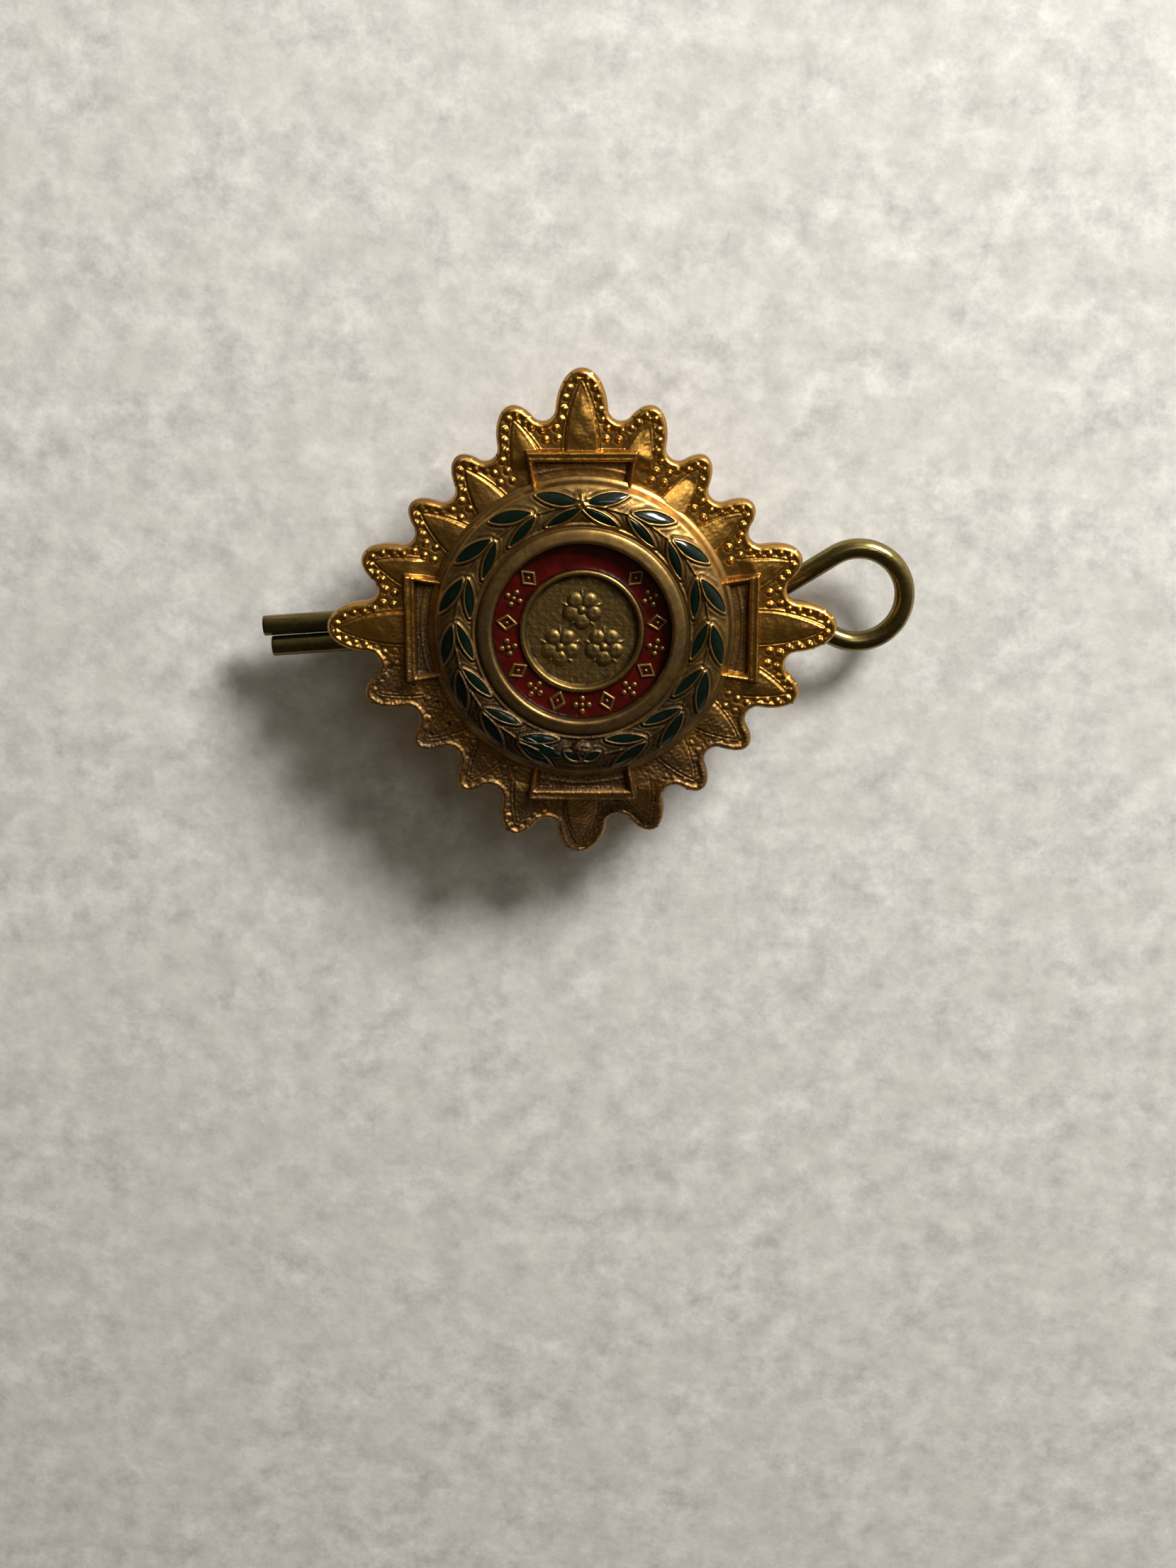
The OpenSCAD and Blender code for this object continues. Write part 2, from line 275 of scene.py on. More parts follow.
# ---- materials ----
class Paint:
    """A Principled material whose nodes are added by short calls. Noise sizes are in mm."""

    def __init__(self, name, **constants):
        self.material = bpy.data.materials.new(name)
        self.material.use_nodes = True
        self.tree = self.material.node_tree
        self.shader = self.tree.nodes["Principled BSDF"]
        self.place = self.tree.nodes.new("ShaderNodeTexCoord").outputs["Object"]
        for key, v in constants.items():
            self.shader.inputs[key.replace("_", " ")].default_value = v

    def node(self, kind, inputs, **settings):
        node = self.tree.nodes.new(kind)
        for key, v in settings.items():
            setattr(node, key, v)
        for key, v in inputs.items():
            if isinstance(v, bpy.types.NodeSocket):
                self.tree.links.new(v, node.inputs[key])
            else:
                node.inputs[key].default_value = v
        return node

    def noise(self, size, low=0.0, high=1.0, detail=4.0, rough=0.55, sharp=0.25, stretch=None):
        place = self.place
        if stretch:
            place = self.node("ShaderNodeMapping", {"Vector": place, "Scale": stretch}).outputs[0]
        made = self.node("ShaderNodeTexNoise", {"Vector": place, "Scale": 1 / (size * MM),
                                                "Detail": detail, "Roughness": rough})
        return self.span(made.outputs["Fac"], 0.5 - sharp, 0.5 + sharp, low, high)

    def cells(self, size, low=0.0, high=1.0, start=0.0, end=0.6):
        made = self.node("ShaderNodeTexVoronoi", {"Vector": self.place, "Scale": 1 / (size * MM)})
        return self.span(made.outputs["Distance"], start, end, low, high)

    def value(self, name):
        return self.node("ShaderNodeAttribute", {}, attribute_name=name).outputs["Fac"]

    def span(self, x, a, b, low, high):
        made = self.node("ShaderNodeMapRange", {"Value": x, "From Min": a, "From Max": b,
                                                "To Min": low, "To Max": high})
        return made.outputs["Result"]

    def math(self, kind, *args, clamp=False):
        made = self.node("ShaderNodeMath", dict(enumerate(args)), operation=kind, use_clamp=clamp)
        return made.outputs[0]

    def blend(self, share, a, b):
        made = self.tree.nodes.new("ShaderNodeMix")
        made.data_type = "RGBA"
        for key, v in ((0, share), (6, a), (7, b)):
            if isinstance(v, bpy.types.NodeSocket):
                self.tree.links.new(v, made.inputs[key])
            else:
                made.inputs[key].default_value = v if key == 0 else (*v, 1)
        return made.outputs[2]

    def relief(self, height, depth, strength=1.0, normal=None):
        inputs = {"Height": height, "Distance": depth * MM, "Strength": strength}
        if normal:
            inputs["Normal"] = normal
        return self.node("ShaderNodeBump", inputs).outputs["Normal"]

    def done(self, **links):
        for key, v in links.items():
            self.tree.links.new(v, self.shader.inputs[key.replace("_", " ")])
        return self.material


def gilt(name, bright, dull, shade_and_grime_tone, rough, worn, grain, fade=(0.95, 1.1, 1.75)):
    """Gilding with dull patches, grime and painted shade in the hollows, and a fine struck grain.
    """
    p = Paint(name, Metallic=1.0)
    dirt, tarnish = p.value("dirt"), p.value("tarnish")
    patches = p.noise(0.9, 0, 1, detail=6, rough=0.6, sharp=0.16)
    fine = p.noise(0.16, 0, 1, detail=5, rough=0.65, sharp=0.2)
    share = p.math("MULTIPLY_ADD", patches, worn, tarnish)
    share = p.math("MULTIPLY_ADD", fine, 0.3 * worn, share, clamp=True)
    grey = tuple(c * k for c, k in zip(dull, fade))
    colour = p.blend(share, bright, p.blend(p.span(tarnish, 0.45, 0.9, 0.0, 0.8), dull, grey))
    grit = p.math("MULTIPLY", p.span(tarnish, 0.35, 0.8, 0.0, 0.8),
                  p.noise(0.14, 0, 1, detail=4, rough=0.7, sharp=0.1), clamp=True)
    # The hollows take the dark tone: part grime, part painted shade.
    hollow = p.math("MULTIPLY_ADD", dirt, p.noise(0.22, 0.55, 1.0, detail=4), grit, clamp=True)
    colour = p.blend(hollow, colour, shade_and_grime_tone)
    roughness = p.math("MULTIPLY_ADD", share, 0.14, p.noise(0.35, rough, rough + 0.12, detail=5))
    roughness = p.math("MULTIPLY_ADD", hollow, 0.22, roughness, clamp=True)
    coarse = p.relief(p.noise(0.42, detail=5, rough=0.6, sharp=0.4), 0.012 * grain)
    stipple = p.span(tarnish, 0.2, 0.7, 0.15, 1.0)
    normal = p.relief(p.noise(0.09, detail=4, rough=0.7, sharp=0.4), 0.018 * grain, stipple,
                      coarse)
    return p.done(Base_Color=colour, Roughness=roughness, Normal=normal)


def enamel(name, deep, light, size, rough, coat):
    """Vitreous enamel: glossy glass over a colour that pools darker, with fine pits."""
    p = Paint(name, Roughness=rough, Specular_IOR_Level=0.3, IOR=1.52,
              Coat_Weight=coat, Coat_Roughness=0.05, Coat_IOR=1.55)
    edge = p.value("edge")
    share = p.math("MULTIPLY_ADD", edge, -0.6,
                   p.noise(size, 0.15, 1.0, detail=4, sharp=0.2), clamp=True)
    colour = p.blend(share, deep, light)
    speck = p.cells(0.23, 1, 0, 0.05, 0.11)
    dot = p.math("MULTIPLY", speck, p.noise(0.5, 0, 0.9, sharp=0.1), clamp=True)
    colour = p.blend(dot, colour, tuple(c * 0.35 for c in deep))
    height = p.math("MULTIPLY_ADD", speck, -0.4, p.noise(0.5, detail=3, sharp=0.4))
    return p.done(Base_Color=colour, Normal=p.relief(height, 0.012, 0.8))


def brass_wire(name, bright, dull, rough):
    """Drawn wire: length-wise rub marks over an olive tarnish, made lighter where it is rubbed and
    where a highlight is painted.
    """
    p = Paint(name, Metallic=1.0)
    rub = p.value("rub")
    patches = p.noise(1.3, 0, 0.8, detail=5, rough=0.6, sharp=0.2)
    streak = p.noise(0.25, 0, 0.5, detail=4, stretch=(0.12, 1, 1))
    share = p.math("ADD", p.math("MULTIPLY", patches, streak), p.math("MULTIPLY", streak, 0.6))
    share = p.math("SUBTRACT", p.math("ADD", share, 0.35), rub, clamp=True)
    colour = p.blend(share, bright, dull)
    roughness = p.math("MULTIPLY_ADD", share, 0.14, p.noise(0.3, rough, rough + 0.1))
    normal = p.relief(p.noise(0.12, detail=4, sharp=0.4, stretch=(0.15, 1, 1)), 0.006)
    return p.done(Base_Color=colour, Roughness=roughness, Normal=normal)


GILT_STAR = gilt("gilt_star", (0.81, 0.43, 0.087), (0.33, 0.167, 0.045), (0.05, 0.027, 0.012),
                 rough=0.18, worn=0.4, grain=1.0, fade=(1.02, 1.3, 2.5))
GILT_COLLAR = gilt("gilt_collar", (0.54, 0.32, 0.095), (0.22, 0.135, 0.05), (0.035, 0.021, 0.010),
                   rough=0.25, worn=0.6, grain=0.9)
GILT_PLAQUE = gilt("gilt_plaque", (0.42, 0.27, 0.082), (0.18, 0.115, 0.04), (0.04, 0.025, 0.011),
                   rough=0.28, worn=0.6, grain=0.8)
GREEN = enamel("green_enamel", (0.0007, 0.0036, 0.0022), (0.0016, 0.0105, 0.0052),
               size=0.5, rough=0.16, coat=0.3)
RED = enamel("red_enamel", (0.024, 0.0013, 0.0010), (0.076, 0.0036, 0.0026),
             size=0.8, rough=0.2, coat=0.12)
PIN_BRASS = brass_wire("pin_brass", (0.36, 0.28, 0.10), (0.04, 0.032, 0.014), rough=0.13)
LUG_BRASS = brass_wire("lug_brass", (0.50, 0.37, 0.14), (0.18, 0.13, 0.05), rough=0.26)


# ---- the star's outline ----
def petal_half(kind):
    """From the tip of a petal down its right flank."""
    reach, w = REACH[kind], TIP_W[kind]
    a = np.radians(np.linspace(0, 90, 500))
    tip = np.c_[w * np.sin(a), reach - TIP_L + TIP_L * np.cos(a)]
    t = np.linspace(0, 1, 900)[1:, None]
    return np.r_[tip, tip[-1] + t * [w + FLARE - tip[-1][0], ROOT_R - tip[-1][1]]]


def outline_chain():
    """The outline from the top petal's tip to the tip of the petal at 54 degrees."""
    kinds, parts = [0, 1, 2, 2], []
    for k in range(3):
        a = turned(petal_half(kinds[k]), 18 * k)
        b = turned(petal_half(kinds[k + 1]) * [-1, 1], 18 * (k + 1))
        centres = a + VALLEY_R * normals(a)
        i = int(np.argmax(distance(centres, b) <= VALLEY_R))
        c = centres[i]
        j = int(np.argmin(np.hypot(*(b - c).T)))
        a0, a1 = (math.atan2(q[1] - c[1], q[0] - c[0]) for q in (a[i], b[j]))
        sweep_a = np.linspace(a0, a1 + (2 * math.pi if a1 < a0 else 0), 120)
        arc = c + VALLEY_R * np.c_[np.cos(sweep_a), np.sin(sweep_a)]
        parts += [a[:i], arc, b[j - 1::-1] if j else b[:0]]
    return along(np.concatenate(parts), 0.01)


CHAIN = outline_chain()
AROUND = np.r_[(CHAIN[:400] * [-1, 1])[::-1], CHAIN[1:]]
HALF = int(np.argmax(CHAIN[:, 0] >= CHAIN[:, 1]))
CHAIN_ANGLE, CHAIN_R = np.degrees(np.arctan2(*CHAIN.T)), np.hypot(*CHAIN.T)
STEP = 0.05
EDGE = along(CHAIN[:HALF + 1], STEP)
EDGE[0, 0] = 0
EDGE[-1] = EDGE[-1].mean()
EDGE_N = normals(EDGE)
EDGE_N[0], EDGE_N[-1] = (0, 1), (math.sqrt(0.5), math.sqrt(0.5))


def lancet(kind):
    """Half the raised leaf on a petal, from its apex down: a pointed arch."""
    # how far the apex is from the petal's tip, then its length, half width and fullness
    inset, length, wide, full = ((0.68, 3.5, 0.86, 1.9), (0.84, 2.5, 0.84, 1.5),
                                 (0.9, 3.3, 0.92, 1.9))[kind]
    t = np.linspace(0, 1, 80)
    return np.c_[wide * (1 - (1 - t) ** full) ** 0.93, REACH[kind] - inset - length * t]


LANCETS = [lancet(k) for k in range(3)]
# how steeply the lancets fall to their tips, and how much more by petal, clockwise from the top
LEAN_USUAL = 0.06
LEAN = {0: 0.03, 1: 0.12, 2: 0.2, 3: 0.08, 4: 0.03, 5: -0.12, 6: -0.05, 19: 0.03}
LANCET_BASE = 9.68


def frame_half(y):
    return FRAME_W[0] + (FRAME_W[1] - FRAME_W[0]) * (y - FRAME_IN) / (FRAME_OUT - FRAME_IN)


def eighth(rows, inner, step, extra=(), rings=()):
    """Points and triangles of the plan from 0 to 45 degrees. rows are distances from the outline,
    extra and rings hold polylines and radii that the triangles' edges follow, and inner is the
    fine part's inner radius."""
    coarse, clear = 8, 0.1  # the inner part's step over the fine one, and the room round a ring
    blocks = [EDGE - d * EDGE_N for d in rows]
    first_row = len(blocks[0])
    for line in extra:
        line = along(line, step)
        angle = np.degrees(np.arctan2(*line.T))
        keep = (angle > 0.05) & (angle < 44.95) & (np.hypot(*line.T) > inner - 0.4)
        blocks.append(line[keep])
    a = np.radians(np.linspace(0, 45, 90))
    blocks += [np.c_[r * np.sin(a), r * np.cos(a)] for r in rings]
    fixed = np.concatenate(blocks)
    last_d = rows[-1] + step * 0.6
    for at_45 in (False, True):
        top = (CHAIN_R[HALF] if at_45 else REACH[0]) - last_d - step * 0.3
        r = np.r_[np.arange(top, inner, -step), np.arange(inner, 0.3, -step * coarse)]
        for ring in rings:
            r = r[np.abs(r - ring) > clear]
        r = r if at_45 else np.r_[r, 0]
        fixed = np.r_[fixed, np.c_[r, r] * math.sqrt(0.5) if at_45 else np.c_[0 * r, r]]

    def lattice(h):
        x, y = np.meshgrid(np.arange(0, 15 / h), np.arange(0, 15 / (h * ROW)))
        return np.c_[((x + (y % 2) / 2) * h).ravel(), (y * h * ROW).ravel()]

    for h, low, high in ((step, inner, 20), (step * coarse, 0.4, inner - step * 2)):
        p = lattice(h)
        r, angle = np.hypot(*p.T), np.degrees(np.arctan2(*p.T))
        p = p[(r > low) & (r < high) & (angle >= 0) & (angle <= 45) & (p[:, 0] > 0.5 * h)
              & ((p[:, 1] - p[:, 0]) * math.sqrt(0.5) > 0.5 * h)
              & (r < np.interp(angle, CHAIN_ANGLE, CHAIN_R))]
        p = p[distance(p, AROUND) > last_d]
        for line in extra:
            p = p[distance(p, line) > h * 0.55] if h == step else p
        for ring in rings:
            p = p[np.abs(np.hypot(*p.T) - ring) > clear]
        fixed = np.r_[fixed, p]
    border = np.c_[np.arange(first_row - 1), np.arange(1, first_row)]
    points, tris = triangulated(fixed, border)
    middle = points[tris].mean(1)
    angle = np.degrees(np.arctan2(*middle.T))
    inside = np.hypot(*middle.T) < np.interp(angle, CHAIN_ANGLE, CHAIN_R)
    inside &= (angle > 0) & (angle < 45)
    if rows[0]:
        inside &= distance(middle, AROUND) > rows[0] - 1e-3
    return points, tris[inside], first_row


def whole(points, tris, edge_count):
    """The eighth repeated round the star and welded, with its outline's vertices in order."""
    copies, faces = [], []
    for q in range(4):
        for side in (1, -1):
            copies.append(turned(points * [side, 1], 90 * q))
            faces.append((tris if side == 1 else tris[:, ::-1]) + len(points) * len(faces))
    every = np.concatenate(copies)
    _, first, inverse = np.unique(np.round(every, 5), axis=0, return_index=True,
                                  return_inverse=True)
    inverse = inverse.ravel()
    faces = inverse[np.concatenate(faces)]
    a, b, c = faces.T
    faces = faces[(a != b) & (b != c) & (a != c)]
    loop, n, e = [], len(points), edge_count
    for q in range(4):
        loop.append(inverse[2 * q * n + np.arange(e - 1)])
        mirrored = (2 * ((q + 1) % 4) + 1) * n
        loop.append(inverse[mirrored + np.arange(e - 1, 0, -1)])
    return every[first], faces, np.concatenate(loop)


def edge_loop(d):
    """The whole outline set in by d, in the same order as whole() gives."""
    line = EDGE - d * EDGE_N
    e, parts = len(line), []
    for q in range(4):
        parts.append(turned(line, 90 * q)[:e - 1])
        parts.append(turned(line * [-1, 1], 90 * (q + 1))[e - 1:0:-1])
    return np.concatenate(parts)


def fold(p):
    """Points mirrored into the eighth of the plan from 0 to 45 degrees."""
    return np.sort(np.abs(p), axis=1)


def bead_places():
    """The centres of the beads on the whole star."""
    found = []
    pitch, inset, line_inset = 0.58, 0.46, 0.34
    for k, side in ((0, 1), (1, -1), (1, 1), (2, -1), (2, 1)):
        boundary = 18 * k + 9 * side
        tip = int(np.argmin(np.abs(CHAIN_ANGLE - 18 * k) + (CHAIN_R < REACH[k] - 0.2) * 99))
        stop = int(np.argmin(np.abs(CHAIN_ANGLE - boundary)))
        part = CHAIN[tip:stop] if side == 1 else CHAIN[tip:stop:-1]
        row = part - inset * side * normals(part)
        row = row[np.abs(turned(row, -boundary)[:, 0]) > line_inset]
        joint = turned(row[-1:], -boundary)[0]
        # the valley's rows run on to the frame, or to the collar between the frames
        end = 10.25 if k == 0 or (k == 1 and side == -1) else 8.85
        tail = np.c_[np.full(40, -line_inset * side), np.linspace(joint[1], end, 40)]
        row = np.r_[row, turned(tail, boundary)[1:]]
        found.append(resampled(row, lambda s: np.arange(pitch / 2, s, pitch)))
    wedge = np.concatenate(found)
    return np.concatenate([turned(wedge * [side, 1], 90 * q)
                           for q in range(4) for side in (1, -1)])


def direction_of(p):
    """Clockwise from the top, in degrees."""
    return np.degrees(np.arctan2(p[:, 0], p[:, 1])) % 360


def worn_share(angle):
    """How worn the star is at a direction: most at the bottom, on both sides. Where it dulls the
    colour it also stands for painted shade.
    """
    return ramp(angle, 95, 130) * (1 - ramp(angle, 255, 276))


def star_front(p):
    """Height and bead share of the star's front at points p."""
    f = fold(p)
    angle = np.degrees(np.arctan2(*f.T))
    z = np.interp(distance(f, AROUND), [0, 0.04, 0.10, 0.18, 0.26, 0.33, 0.41, 0.52],
                  [0.72, 0.86, 0.97, 1.05, 1.085, 1.07, 0.99, FIELD_Z])
    kind = np.clip(np.round(angle / 18), 0, 2).astype(int)
    for k in range(3):
        mine = kind == k
        q = turned(f[mine], -18 * k)
        u, v = np.abs(q[:, 0]), q[:, 1]
        e = distance(np.c_[u, v], LANCETS[k])
        wide = np.interp(-v, -LANCETS[k][:, 1], LANCETS[k][:, 0], left=-1)
        e = np.where(u < wide, e, -e)
        if k == 0:
            e = np.minimum(e, v - LANCET_BASE)
        fade = ramp(v, 9.1, 10.0) if k == 1 else 1
        up = FIELD_Z + fade * (0.15 * ramp(e, -0.1, 0.04) + 0.04 * ramp(e, 0.02, 0.6)
                               + 0.06 * bump(e, -0.17, 0.045))
        way = direction_of(p[mine])
        fall = LEAN_USUAL + np.array([LEAN.get(int(i), 0) for i in np.round(way / 18) % 20])
        up += fade * fall * np.clip(REACH[k] - 2.2 - v, -1.5, 1.2) * ramp(e, -0.1, 0.1)
        up -= 0.07 * worn_share(way) * ramp(e, -0.1, 0.1)
        z[mine] = np.maximum(z[mine], np.where(e > -0.3, up, 0))
    beads = bead_places()
    rng = np.random.default_rng(3)
    angle_b = direction_of(beads)
    worn_b = np.clip(0.9 * worn_share(angle_b) + 0.25 * ramp(angle_b, 285, 300), 0, 1)
    size = BEAD_R * rng.uniform(0.92, 1.08, len(beads))
    tall = BEAD_H * rng.uniform(0.75, 1.15, len(beads))
    tall *= 1 - worn_b * rng.uniform(0.7, 1.35, len(beads))
    beads = beads + rng.normal(0, 0.012, beads.shape)
    bead = np.zeros(len(p))
    for b, s, h in zip(beads, size, tall):
        near = np.nonzero((np.abs(p[:, 0] - b[0]) < 0.35) & (np.abs(p[:, 1] - b[1]) < 0.35))[0]
        rho = np.hypot(*(p[near] - b).T)
        share = np.clip(1 - (rho / s) ** 2, 0, 1) ** 0.62
        bead[near] = np.maximum(bead[near], share)
        z[near] = np.maximum(z[near] - 0.02 * bump(rho, s + 0.03, 0.06), 0.93 + (h + 0.05) * share)
    x, y = f.T
    side, top = frame_half(y) - x, FRAME_OUT - y
    both = np.minimum(side, top)
    bar = np.interp(top, [0.03, 0.09, 0.16, 0.3, 0.42, 0.5, 0.56, 0.64],
                    [1.52, 1.6, 1.56, 1.53, 1.56, 1.53, 1.3, 1.12])
    rail = np.interp(side, [0.03, 0.08, 0.14, 0.22, 0.34, 0.42],
                     [1.5, 1.57, 1.54, 1.44, 1.2, 1.12])
    inner = np.maximum(bar, rail)
    frame_z = np.where(both > 0.03, inner,
                       FRAME_FOOT + (FRAME_TOP - FRAME_FOOT) * ramp(both, -0.12, 0.04))
    frame_z = frame_z + 0.07 * bump(np.hypot(x, y), 8.78, 0.06) * ramp(side, 0.35, 0.45)
    z = np.where(both > -0.12, np.where(both > 0.03, frame_z, np.maximum(z, frame_z)), z)
    return z, bead


def bent(v):
    """The bottom petals bent back, about the top of the plate."""
    x, y, z = v.T
    s = np.maximum(-HINGE_R - y, 0)
    full = np.radians(BEND) * bump(x, BEND_X, BEND_W)
    # the bend is taken up evenly over a short length, so the line stays smooth
    soft = 0.9
    part = np.minimum(s / soft, 1)
    phi = full * part
    mean = full * part / 2
    flat = np.where(s < soft, s * np.cos(mean), soft * np.cos(full / 2) + (s - soft) * np.cos(full))
    drop = np.where(s < soft, s * np.sin(mean), soft * np.sin(full / 2) + (s - soft) * np.sin(full))
    h = z - PLATE_T
    moved = np.c_[x, -HINGE_R - flat - h * np.sin(phi), PLATE_T - drop + h * np.cos(phi)]
    return np.where((y < -HINGE_R)[:, None], moved, v)


# small pits in the gilding at the lower left: where each is, and its radius
PITS = ((-10.6, -2.2, 0.2), (-11.2, -2.1, 0.13), (-8.0, -4.2, 0.14), (-7.4, -5.4, 0.16),
        (-8.4, -6.0, 0.14), (-9.3, -3.2, 0.1), (-7.0, -6.9, 0.1))
# the circles that the recess's edge on the back follows
RECESS_RINGS = (7.6, 7.5, 7.43, 7.395, 7.365, 7.32, 7.2)


def build_star():
    # the triangles follow the frames' bars and rails, and the lancets
    y = np.array([8.0, FRAME_OUT])
    lines = [np.array([[0.02, FRAME_OUT - t],
                       [frame_half(FRAME_OUT) - max(t, 0.02), FRAME_OUT - t]])
             for t in (-0.04, 0.05, 0.14, 0.5, 0.62)]
    lines += [np.c_[frame_half(y) - s, y - max(s, 0) * 0.9] for s in (-0.04, 0.05, 0.14, 0.4)]
    for k in range(3):
        lines += [turned(LANCETS[k] * [side, 1], 18 * k) for side in ((1,) if k == 0 else (1, -1))]
    plan, faces, loop = whole(*eighth([0, 0.04, 0.1, 0.18, 0.26, 0.33], 7.7, STEP * 1.08, lines))
    z, bead = star_front(plan)
    angle = direction_of(plan)
    worn = worn_share(angle)
    r = np.hypot(*plan.T)
    outside = r > 7.8
    z = z + outside * (0.016 * waves(plan, 1.3, 1) + (0.004 + 0.009 * worn) * waves(plan, 0.3, 2))
    z = np.where(outside, z, 0.97)
    hollow = np.clip(sink(z, faces, 14) / 0.05, 0, 1) * outside
    pits = np.zeros(len(plan))
    for cx, cy, size in PITS:
        away = np.hypot(plan[:, 0] - cx, plan[:, 1] - cy)
        pits = np.maximum(pits, ramp(-away, -size, -size * 0.5))
    z = z - 0.05 * pits
    f = fold(plan)
    side, top = frame_half(f[:, 1]) - f[:, 0], FRAME_OUT - f[:, 1]
    panel = ramp(side, 0.3, 0.42) * ramp(top, 0.54, 0.64) * outside
    # Painted shade along the panels' edges, under the bars and beside the rails.
    corner = np.maximum(bump(top, 0.62, 0.05) * ramp(side, 0.2, 0.3),
                        bump(side, 0.4, 0.05) * ramp(top, 0.4, 0.5))
    # Dark in the hollows (part grime, part painted shade), along the panels' edges (painted shade)
    # and in the pits (dirt).
    dirt = np.clip((0.5 - 0.15 * worn - 0.22 * panel) * hollow + pits
                   + 0.7 * corner * outside, 0, 1)
    # Duller towards the bottom: part wear, part painted shade. Painted shade darkens the upper
    # left, from 260 to 350 degrees, the side away from the key lamp.
    tarnish = np.clip(0.12 + 0.55 * worn - 0.2 * bead * (1 - worn) + 0.45 * panel
                      + 0.14 * waves(plan, 3.0, 5)
                      + 0.3 * ramp(angle, 260, 300) * (1 - ramp(angle, 335, 352)), 0, 1)
    verts = [np.c_[plan, z]]
    count, n = len(plan), len(loop)
    loops, walls = [loop], []
    for inset, height in ((0, 0.48), (0, 0.2), (0.03, 0.08), (0.08, 0.02)):
        verts.append(np.c_[edge_loop(inset), np.full(n, height)])
        loops.append(count + np.arange(n))
        count += n
    back, back_faces, back_loop = whole(*eighth([0.15, 0.4], 7.0, 0.4, rings=RECESS_RINGS))
    rb = np.hypot(*back.T)
    zb = np.interp(rb, [7.32, 7.365, 7.395, 7.43, 7.5], [RECESS_D, 0.33, 0.05, 0.01, 0.0])
    verts.append(np.c_[back, zb])
    loops.append(count + back_loop)
    for a, b in zip(loops, loops[1:]):
        walls.append(np.c_[a, np.roll(a, -1), np.roll(b, -1), b])
    verts = np.concatenate(verts)
    extra = len(verts) - len(plan)
    mesh = mesh_of("star", bent(verts),
                   [faces, np.concatenate(walls), back_faces[:, ::-1] + count],
                   dirt=np.r_[dirt, np.full(extra, 0.12)],
                   tarnish=np.r_[tarnish, np.full(extra, 0.3)])
    piece("star", mesh, GILT_STAR, ["star_plate"])


# ---- the collar and its leaves ----
def polar(r, a):
    a = math.radians(a)
    return np.array([r * math.sin(a), r * math.cos(a)])


def leaf_list():
    """Each leaf's node, chord ends and width."""
    places = [(row, k) for row in ("outer", "inner") for k in range(LEAF_PAIRS)]
    out = []
    for side, sign in (("left", -1), ("right", 1)):
        for row, k in places + [("end", LEAF_PAIRS)]:
            r0, r1, a0, a1, w = LEAVES[row]
            node = f"leaf_{side}_{row}" + ("" if row == "end" else f"_{k + 1}")
            ends = [polar(r, k * LEAF_PITCH + a) * [sign, 1] for r, a in ((r0, a0), (r1, a1))]
            out.append((node, *ends, w))
    return out


def leaf_frame(start, end, w):
    """A leaf's length, its directions along and across, and the radius of its two arcs."""
    length = np.hypot(*(end - start))
    u = (end - start) / length
    return length, u, np.array([-u[1], u[0]]), (length ** 2 + w ** 2) / (4 * w)


def leaf_sd(p, start, end, w):
    """Signed distance from a leaf's outline, below 0 inside."""
    length, u, across, radius = leaf_frame(start, end, w)
    q = p - (start + end) / 2
    s, t = q @ u, np.abs(q @ across)
    arc = np.hypot(s, t + radius - w / 2) - radius
    beyond = np.abs(s) > length / 2
    return np.where(beyond & (arc > 0), np.hypot(np.abs(s) - length / 2, t), arc)


def dome_z(r):
    return COLLAR_Z - DOME_R + np.sqrt(np.maximum(DOME_R ** 2 - (r - CROWN_R) ** 2, 0.01))


def collar_profile():
    """Radius and height of each row of the collar, from the bore's foot over the lip and the
    dome to the flange and back, and how many rows the bore and lip have."""
    bore = [(0, 1.12), (0, 1.6), (0, 1.95), (0, 2.2), (0.005, 2.38), (0.02, 2.47), (0.05, 2.535),
            (0.1, 2.585), (0.16, 2.61), (0.22, 2.615)]
    lip = [(BORE_R + r, z) for r, z in bore]
    lip += [(5.17, 2.605), (5.25, 2.592), (5.33, 2.58), (5.41, 2.567), (5.49, 2.55), (5.56, 2.53),
            (5.62, 2.5), (5.66, 2.46), (5.69, 2.41), (5.71, 2.36), (5.74, 2.315), (5.785, 2.295)]
    dome = [(r, float(dome_z(r))) for r in np.arange(5.83, 8.0, 0.036)]
    flange = [(8.03, 1.77), (8.065, 1.68), (8.1, 1.595), (8.14, 1.525), (8.185, 1.47),
              (8.24, 1.43), (8.3, 1.4), (8.36, 1.36), (8.395, 1.3), (8.4, 1.18), (8.38, 1.105),
              (8.1, 1.1), (6.5, 1.1), (5.0, 1.1), (BORE_R + 0.01, 1.105)]
    return np.array(lip + dome + flange), len(lip)


